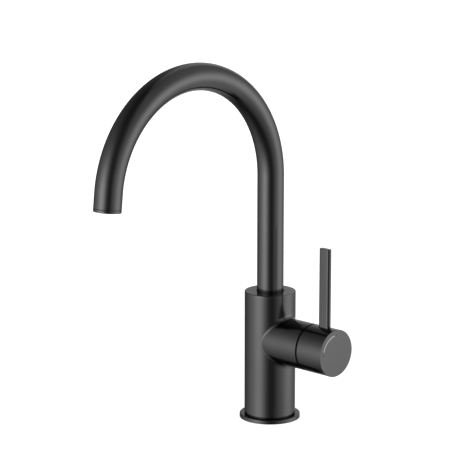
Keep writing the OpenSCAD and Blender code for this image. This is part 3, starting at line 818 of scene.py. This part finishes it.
@dataclass
class Spout(SubAssembly):
    """Riser, bend and outlet end of the spout, with its aerator ring."""

    body: str = "spout"
    radius: float = 11.0
    bore_r: float = 9.5
    foot_z: float = 98.8
    bend_z: float = 204.7
    bend_r: float = 89.6
    sweep: float = 174.0
    tube_end: float = 11.2
    washer_z: float = 2.7
    thread_r: float = 10.0
    lip_z: float = 13.7
    aerator_bore_r: float = 8.37
    spigot_r: float = 9.97
    spigot_z: float = 4.2
    riser_rows: int = 24
    bend_rows: int = 145
    lip_rows: Pair = (6.0, 1.0)
    columns: int = 96

    def outlet(self) -> Lathe:
        """Finds the straight outlet end.

        Returns:
            Its axis, with height 0 where the bend ends.
        """
        angle = math.radians(self.sweep)
        middle = (
            0.0,
            -self.bend_r + self.bend_r * math.cos(angle),
            self.bend_z + self.bend_r * math.sin(angle),
        )
        along = (0.0, -math.sin(angle), math.cos(angle))
        across = np.cross(along, (1, 0, 0))
        return Lathe(middle, (1, 0, 0), tuple(across), along)

    def tube(self) -> Surface:
        """Tube of two walls along the spout's path.

        Rows of radius and path length are carried along a path that goes straight up, round
        the bend's circle and straight out. A ring of the tube at path length s is the circle
        of that radius in the plane square to the path at s.

        Returns:
            The tube, closed over its lip and its foot.
        """
        arc = self.bend_r * math.radians(self.sweep)
        rise = self.bend_z - self.foot_z
        full = rise + arc + self.tube_end
        lip = rounded([
            (self.radius, full - LEAD, 0), (self.radius, full, 0.3), (self.thread_r, full, 0.1),
            (self.thread_r, full - LEAD, 0),
        ], closed=False)[1:-1]
        stations = np.concatenate([
            np.linspace(0, rise, self.riser_rows), rise + np.linspace(0, arc, self.bend_rows)[1:],
            full - np.array(self.lip_rows),
        ])
        outer = np.column_stack([np.full(len(stations), self.radius), stations])
        washer = rise + arc + self.washer_z
        inside = stations[stations < washer - LEAD][::-1]
        inner = np.concatenate([
            [(self.thread_r, washer), (self.bore_r, washer)],
            np.column_stack([np.full(len(inside), self.bore_r), inside]),
        ])
        rows = np.concatenate([outer, lip, inner, outer[:1]])
        radius, length = rows[:, 0], rows[:, 1]
        bent = np.clip((length - rise) / self.bend_r, 0, math.radians(self.sweep))
        past = np.clip(length - rise - arc, 0, None)
        middle = np.stack([
            np.zeros_like(bent),
            self.bend_r * (np.cos(bent) - 1) - past * np.sin(bent),
            self.foot_z + np.clip(length, 0, rise)
            + self.bend_r * np.sin(bent) + past * np.cos(bent),
        ], axis=-1)
        outward = np.stack([np.zeros_like(bent), np.cos(bent), np.sin(bent)], axis=-1)
        angle = np.linspace(0, TURN, self.columns, endpoint=False)[None, :, None]
        ring = np.cos(angle) * np.array([1.0, 0, 0]) + np.sin(angle) * outward[:, None, :]
        return sheet_of(middle[:, None, :] + radius[:, None, None] * ring, closed=True)

    def build(self) -> None:
        """Makes the tube and the aerator's ring."""
        self.add("spout", "black_metal", "spout_tube", self.tube())
        ring = rounded([
            (self.aerator_bore_r, self.spigot_z, 0.1), (self.spigot_r, self.spigot_z, 0.1),
            (self.spigot_r, self.tube_end, 0), (self.radius, self.tube_end, 0.35),
            (self.radius, self.lip_z, 0.2), (self.aerator_bore_r, self.lip_z, 0.35),
        ])
        aerator = turned(self.outlet(), ring, self.columns)
        self.add("aerator_ring", "black_metal", "aerator_housing", aerator)


@dataclass
class Bush(SubAssembly):
    """Dark bush round the foot of the spout."""

    body: str = "body"
    inner_r: float = 11.05
    outer_r: float = 11.57
    low: float = 103.4
    high: float = 107.5
    collar_r: float = 12.37
    collar_z: float = 104.9
    columns: int = 96

    def build(self) -> None:
        """Turns the bush's outline, with its retaining collar, about the upright axis."""
        outline = rounded([
            (self.inner_r, self.low, 0), (self.collar_r, self.low, 0),
            (self.collar_r, self.collar_z, 0), (self.outer_r, self.collar_z, 0),
            (self.outer_r, self.high, 0.12), (self.inner_r, self.high, 0.12),
        ])
        ring = turned(UPRIGHT, outline, self.columns)
        self.add("spout_ring", "black_plastic", "spout_bush", ring)


@dataclass
class Handle(SubAssembly):
    """Turning cap with the upright lever and the temperature marks."""

    body: str = "handle"
    cap_r: float = 19.45
    face_x: float = 73.1
    face_edge: float = 0.3
    back_edge: float = 1.0
    back_x: float = 48.1
    back_rows: int = 9
    hollow_r: float = 22.49
    hollow_rows: int = 28
    pivot_x: float = 36.07
    lever_x: float = 60.7
    lever_half: float = 3.3
    lever_r: float = 2.3
    lever_foot: float = 14.05
    lever_top: float = 84.6
    lever_edge: float = 0.4
    lever_foot_edge: float = 0.1
    lever_rows: int = 20
    lever_columns: int = 33
    slot_gap: float = 0.08
    plug_x: float = 62.41
    plug_r: float = 2.53
    plug_floor: float = 16.5
    mark_r: float = 15.0
    mark_w: float = 0.9
    mark_from: float = 7.0
    mark_to: float = 77.0
    dot_r: float = 0.9
    dot_angles: Pair = (-2.0, 86.0)
    mark_proud: float = 0.05
    mark_depth: float = 0.35
    mark_rows: int = 90
    dot_crown: float = 0.1
    slot_window: Pair = (0.24, 7.6)
    plug_window: Pair = (0.26, 4.6)

    def slot_outline(self, direction: Array) -> Arrays:
        """Outline of the lever's seat, seen from above, along rays from its middle.

        A ray leaves through a straight side where that comes before the round ends, and
        otherwise through the end's circle.

        Args:
            direction: Angles of the rays.

        Returns:
            The distance towards -Y and the distance along the boss's axis.
        """
        across, along = np.cos(direction), np.sin(direction)
        wall = self.lever_r + self.slot_gap
        side = wall / np.maximum(np.abs(across), 1e-9)
        toward = np.abs(along) * self.lever_half
        end = toward + np.sqrt(np.maximum(toward**2 - self.lever_half**2 + wall**2, 0))
        reach = np.where(side * np.abs(along) <= self.lever_half, side, end)
        return reach * across, reach * along

    def cap(self) -> List[Surface]:
        """Cap with a round face, a hollow like the dome that it turns over, and two pits.

        Its back outline is a quarter circle of radius back_edge that starts on the wall and
        ends where it meets the hollow, a sphere of radius hollow_r about the pivot.

        Returns:
            The wall, the face, the back with the hollow, the lever's seat and the plug's hole.
        """
        top = Pit(SIDEWAYS, self.cap_r, math.pi / 2, self.lever_x, self.lever_foot,
                  self.slot_outline, self.slot_window)
        under = Pit(SIDEWAYS, self.cap_r, -math.pi / 2, self.plug_x, self.plug_floor,
                    circle(self.plug_r), self.plug_window)
        sleeve = Sleeve(SIDEWAYS, self.cap_r, self.back_x, self.face_x - self.face_edge,
                        (top.opening(), under.opening()), angle_step=TURN / 150, height_step=2.0)
        face = rounded([
            (self.cap_r, self.face_x - LEAD, 0), (self.cap_r, self.face_x, self.face_edge),
            (0, self.face_x, 0),
        ], closed=False, steps=9)[2:]
        fall = np.radians(np.linspace(0, 90, 181))
        edge = np.column_stack([self.cap_r - self.back_edge * (1 - np.cos(fall)),
                                self.back_x - self.back_edge * np.sin(fall)])
        tip = int(np.argmax(np.hypot(edge[:, 0], edge[:, 1] - self.pivot_x) < self.hollow_r))
        start = math.atan2(edge[tip, 0], edge[tip, 1] - self.pivot_x)
        swing = np.linspace(start, 0, self.hollow_rows)
        hollow = np.column_stack([
            self.hollow_r * np.sin(swing), self.pivot_x + self.hollow_r * np.cos(swing)
        ])
        kept = np.linspace(0, tip, self.back_rows).astype(int)
        back = np.concatenate([edge[kept], hollow])
        (_, _, round_top), (_, _, round_under) = sleeve.frames()
        return [sleeve.surface(), sleeve.skirt(face), sleeve.skirt(back),
                top.surface(round_top), under.surface(round_under)]

    def lever(self) -> Surface:
        """Upright bar with round edges.

        Its section at each height is the bar's outline drawn in by an inset: points at
        lever_r - inset from a straight middle line. The inset grows along a quarter circle
        at the top and then to lever_r, where the outline closes on the line.

        Returns:
            The bar, closed at both ends.
        """
        turn = np.linspace(0, math.pi, self.lever_columns) - math.pi / 2
        end = np.column_stack([np.cos(turn), np.sin(turn)])
        outward = np.concatenate([end, -end])
        middle = np.repeat([self.lever_half, -self.lever_half], self.lever_columns)
        bend = np.linspace(0, math.pi / 2, 9)
        insets = np.concatenate([
            [self.lever_r, self.lever_foot_edge, 0.0], np.zeros(self.lever_rows),
            self.lever_edge * (1 - np.cos(bend)),
            [self.lever_edge + SUPPORT, self.lever_r],
        ])
        low, high = self.lever_foot, self.lever_top - self.lever_edge
        heights = np.concatenate([
            [low, low, low + self.lever_foot_edge],
            np.linspace(low + 5 * self.lever_foot_edge, high - SUPPORT, self.lever_rows),
            high + self.lever_edge * np.sin(bend), [self.lever_top, self.lever_top],
        ])
        reach = (self.lever_r - insets)[:, None]
        points = np.stack([
            self.lever_x + middle[None, :] + reach * outward[None, :, 0],
            reach * outward[None, :, 1],
            np.broadcast_to(BOSS_Z + heights[:, None], (len(heights), len(middle))),
        ], axis=-1)
        return sheet_of(points, closed=True)

    def arc_mark(self) -> Surface:
        """Thin inlaid arc on the cap's face with round ends.

        Along the arc the half width is w at the middle and falls as a circle at both ends.
        Across it runs a low crowned section that goes under the face at both sides.

        Returns:
            The arc.
        """
        start, end = math.radians(self.mark_from), math.radians(self.mark_to)
        half = self.mark_w / 2
        cap_angle = half / self.mark_r
        swing = np.linspace(0, math.pi / 2, 9)
        nose = (cap_angle * (1 - np.cos(swing)))[:-1]
        taper = (half * np.sin(swing))[:-1]
        middle = np.linspace(start + cap_angle, end - cap_angle, self.mark_rows)
        along = np.concatenate([start + nose, middle, end - nose[::-1]])
        width = np.concatenate([taper, np.full(len(middle), half), taper[::-1]])
        across = np.array([-1.0, -1.0, -0.85, -0.5, 0.0, 0.5, 0.85, 1.0, 1.0])
        crown = self.mark_proud * np.array([0.0, 0.75, 0.95, 1.0, 0.95, 0.75, 0.0])
        level = np.concatenate([[-self.mark_depth], crown, [-self.mark_depth]])
        radius = self.mark_r + width[:, None] * across[None, :]
        angle = math.pi / 2 + np.broadcast_to(along[:, None], radius.shape)
        return sheet_of(SIDEWAYS.place(radius, angle, self.face_x + level[None, :]), closed=True)

    def dot(self, degrees: float) -> Surface:
        """Small crowned dot on the cap's face, turned about its own middle.

        Its crown is a quarter ellipse of dot_r by dot_crown.

        Args:
            degrees: Place along the marks' circle, from straight up towards the front.

        Returns:
            The dot.
        """
        angle = math.radians(degrees)
        aside, up = -self.mark_r * math.sin(angle), BOSS_Z + self.mark_r * math.cos(angle)
        own = replace(SIDEWAYS, origin=(self.face_x, aside, up))
        swing = np.linspace(0, math.pi / 2, 9)
        crown = np.column_stack([self.dot_r * np.cos(swing), self.dot_crown * np.sin(swing)])
        under = [(0, -self.mark_depth), (self.dot_r, -self.mark_depth)]
        outline = np.concatenate([under, crown[:-1], [(0, self.dot_crown)]])
        return turned(own, outline, 32)

    def build(self) -> None:
        """Makes the cap, the lever and the marks."""
        self.add("cap", "black_metal", "handle_cap", *self.cap())
        self.add("lever", "black_metal", "lever_bar", self.lever())
        self.add("arc_inlay", "silver_mark", "indicator_arc", self.arc_mark())
        self.add("cold_dot", "blue_mark", "cold_mark", self.dot(self.dot_angles[0]))
        self.add("hot_dot", "red_mark", "hot_mark", self.dot(self.dot_angles[1]))


class CarriedNodes:
    """CAD nodes that stay as they are and get their record's finish, or painted seam shade for the
    dome cover.
    """

    def build(self) -> None:
        """Gives each shown node the material of its slot, or the painted seam shade where one is
        listed for it.
        """
        for part in frame["record"]["subparts"]:
            node, slot = part["node"], part["material_slot"]
            piece = frame["nodes"][node]
            if piece.hide_render:
                continue
            for holder in piece.material_slots:
                holder.material = NODE_PAINTED_SHADE.get(node, FINISHES[slot]).material()
            log.info("CAD node %s keeps its shape, finish %s", node, slot)


@dataclass(frozen=True)
class SoftLight:
    """A soft light of the studio: a smooth patch of azimuth and elevation.

    Its strength is peak exp(-(azimuth offset / width)^2 - (elevation offset / height)^2).
    Angles are in degrees, and azimuths are counted from the camera's own.
    """

    azimuth: float
    elevation: float
    width: float
    height: float
    peak: float


def facing(place: Array, back: Array, right: Array) -> Matrix:
    """Places a camera or a lamp, which look along their own -Z.

    Args:
        place: Its place in metres.
        back: Unit vector along its own +Z.
        right: Unit vector along its own +X, square to back.

    Returns:
        The object's matrix.
    """
    above = np.cross(back, right)
    rows = [[right[k], above[k], back[k], place[k]] for k in range(3)]
    return Matrix(rows + [[0, 0, 0, 1]])


@dataclass
class Studio:
    """Camera, white surroundings, light tent, lamp and floor.

    Distance, target and tent are in millimetres, and clip, lamp, floor and glow_reach in
    metres. The lamp's power is in watts.
    Fill is the share of the white surroundings that lights the scene, and dark is the tent's
    glow where no light reaches. The floor's glow grows over glow_reach.
    """

    azimuth: float = 44.468
    elevation: float = 12.216
    distance: float = 1719.451
    target: Triple = (0.0, -48.582, 167.081)
    lens: float = 168.22
    sensor: float = 36.0
    clip: Pair = (0.05, 60.0)
    fill: float = 0.5
    tent_r: float = 4500.0
    tent_columns: int = 64
    lamp_place: Triple = (0.3, -0.5, 1.6)
    lamp_aim: Triple = (0.0, -0.05, 0.0)
    lamp_size: float = 1.2
    lamp_power: float = 8.0
    floor_r: float = 9.0
    floor_z: float = -2e-4
    floor_glow: Pair = (0.8, 1.0)
    glow_reach: Pair = (0.3, 1.2)
    dark: float = 0.0475
    lights: Sequence[SoftLight] = (
        SoftLight(-49.6, 1.7, 26.9, 26.7, 1.76),
        SoftLight(-88.3, -6.7, 43.1, 46.1, 0.75),
        SoftLight(90.3, 0.5, 38.5, 26.5, 1.62),
        SoftLight(38.1, 23.3, 18.0, 80.0, 0.21),
        SoftLight(114.0, 51.6, 76.1, 37.8, 0.42),
        SoftLight(112.6, -46.7, 62.9, 25.2, 0.69),
        SoftLight(167.5, 7.1, 16.1, 65.9, 0.8),
    )

    def camera(self) -> None:
        """Sets the camera where the photograph was taken from."""
        azimuth, elevation = math.radians(self.azimuth), math.radians(self.elevation)
        level = math.cos(elevation)
        back = np.array([
            math.sin(azimuth) * level, -math.cos(azimuth) * level, math.sin(elevation)
        ])
        right = np.array([math.cos(azimuth), math.sin(azimuth), 0.0])
        data = bpy.data.cameras.new("camera")
        data.lens, data.sensor_width = self.lens, self.sensor
        data.clip_start, data.clip_end = self.clip
        camera = bpy.data.objects.new("camera", data)
        place = (np.asarray(self.target) + back * self.distance) * MM
        camera.matrix_world = facing(place, back, right)
        bpy.context.scene.collection.objects.link(camera)
        bpy.context.scene.camera = camera

    def world(self) -> None:
        """White surroundings for the camera and for reflections, and a softer fill for the rest."""
        world = bpy.data.worlds.new("studio")
        world.use_nodes = True
        bpy.context.scene.world = world
        nodes = NodeTree(world.node_tree)
        background = nodes.add("ShaderNodeBackground", {
            "Color": (1, 1, 1, 1),
            "Strength": nodes.math("MULTIPLY_ADD", nodes.shown(), 1.0 - self.fill, self.fill),
        })
        nodes.add("ShaderNodeOutputWorld", {"Surface": background.outputs[0]})

    def tent_glow(self, nodes: NodeTree, across: Socket, rise: Socket) -> Socket:
        """Sums the soft lights over the tent.

        Args:
            nodes: Tree that the nodes go into.
            across: Azimuth of the place on the tent, in radians.
            rise: Elevation of the place, in radians.

        Returns:
            The strength of the tent's glow.
        """
        total: object = self.dark
        for light in self.lights:
            centre = math.radians(self.azimuth + light.azimuth)
            off = nodes.math("WRAP", nodes.math("SUBTRACT", across, centre), math.pi, -math.pi)
            wide = nodes.math("DIVIDE", off, math.radians(light.width))
            above = nodes.math("SUBTRACT", rise, math.radians(light.elevation))
            tall = nodes.math("DIVIDE", above, math.radians(light.height))
            squares = [nodes.math("MULTIPLY", offset, offset) for offset in (wide, tall)]
            lobe = nodes.math("EXPONENT", nodes.math("MULTIPLY", nodes.math("ADD", *squares), -1.0))
            total = nodes.math("MULTIPLY_ADD", lobe, light.peak, total)
        return total

    def tent(self) -> None:
        """Dark cloth all round the tap with soft lights behind it, which only the tap sees."""
        rise = np.linspace(-math.pi / 2, math.pi / 2, self.tent_columns // 2 + 1)
        outline = self.tent_r * np.column_stack([np.cos(rise), np.sin(rise)])
        tent = make_piece("tent", [turned(UPRIGHT, outline, self.tent_columns)])
        cloth, nodes = blank_material("tent_cloth")
        way = nodes.add("ShaderNodeVectorMath", {0: nodes.place()}, operation="NORMALIZE")
        x, y, z = nodes.add("ShaderNodeSeparateXYZ", {0: way.outputs[0]}).outputs
        across = nodes.math("ARCTAN2", x, nodes.math("MULTIPLY", y, -1.0))
        strength = self.tent_glow(nodes, across, nodes.math("ARCSINE", z))
        glow = nodes.add("ShaderNodeEmission", {"Strength": strength})
        nodes.add("ShaderNodeOutputMaterial", {"Surface": glow.outputs[0]})
        tent.data.materials.append(cloth)
        tent.visible_camera = False

    def lamp(self) -> None:
        """Square soft lamp that faces the tap and shows only in what it lights."""
        data = bpy.data.lights.new("overhead_lamp", "AREA")
        data.size, data.energy = self.lamp_size, self.lamp_power
        lamp = bpy.data.objects.new("overhead_lamp", data)
        place = np.array(self.lamp_place)
        back = unit(place - np.array(self.lamp_aim))
        lamp.matrix_world = facing(place, back, unit(np.cross((0, 1, 0), back)))
        lamp.visible_camera = False
        lamp.visible_glossy = False
        bpy.context.scene.collection.objects.link(lamp)

    def floor(self) -> None:
        """White floor that keeps the tap's soft shadow and is clear from below.

        Its own glow rises with the distance from the tap, so that the far floor is plain white.
        """
        mesh = bpy.data.meshes.new("floor")
        corners = [(-1, -1), (1, -1), (1, 1), (-1, 1)]
        mesh.from_pydata(
            [(x * self.floor_r, y * self.floor_r, self.floor_z) for x, y in corners], [],
            [(0, 1, 2, 3)],
        )
        floor = bpy.data.objects.new("floor", mesh)
        bpy.context.scene.collection.objects.link(floor)
        paint, nodes = blank_material("floor_white")
        matt = nodes.add("ShaderNodeBsdfDiffuse", {"Color": (0.8, 0.8, 0.8, 1)}).outputs[0]
        away = nodes.add("ShaderNodeVectorMath", {0: nodes.place()}, operation="LENGTH")
        far = nodes.add("ShaderNodeMapRange", {
            "Value": away.outputs["Value"],
            "From Min": self.glow_reach[0], "From Max": self.glow_reach[1],
            "To Min": self.floor_glow[0], "To Max": self.floor_glow[1],
        })
        glow = nodes.add("ShaderNodeEmission", {"Strength": far.outputs["Result"]})
        lit = nodes.add("ShaderNodeAddShader", {0: matt, 1: glow.outputs[0]})
        plain = nodes.add("ShaderNodeMixShader", {0: nodes.shown(), 1: matt, 2: lit.outputs[0]})
        back = nodes.add("ShaderNodeNewGeometry").outputs["Backfacing"]
        glass = nodes.add("ShaderNodeBsdfTransparent").outputs[0]
        clear = nodes.add("ShaderNodeMixShader", {0: back, 1: plain.outputs[0], 2: glass})
        nodes.add("ShaderNodeOutputMaterial", {"Surface": clear.outputs[0]})
        mesh.materials.append(paint)
        floor.visible_glossy = False
        floor.visible_shadow = False

    def build(self) -> None:
        """Sets the camera, the surroundings, the lamp and the floor."""
        self.camera()
        self.world()
        self.tent()
        self.lamp()
        self.floor()
        bpy.context.scene.view_settings.view_transform = "Standard"
        log.info("studio ready")


def main() -> None:
    """Builds the studio and every part of the tap in order."""
    logging.basicConfig(level=logging.INFO, format="%(name)s: %(message)s")
    Studio().build()
    for part in (Base(), Column(), Bush(), Spout(), Handle()):
        part.build()
    CarriedNodes().build()


if __name__ == "__main__":
    main()
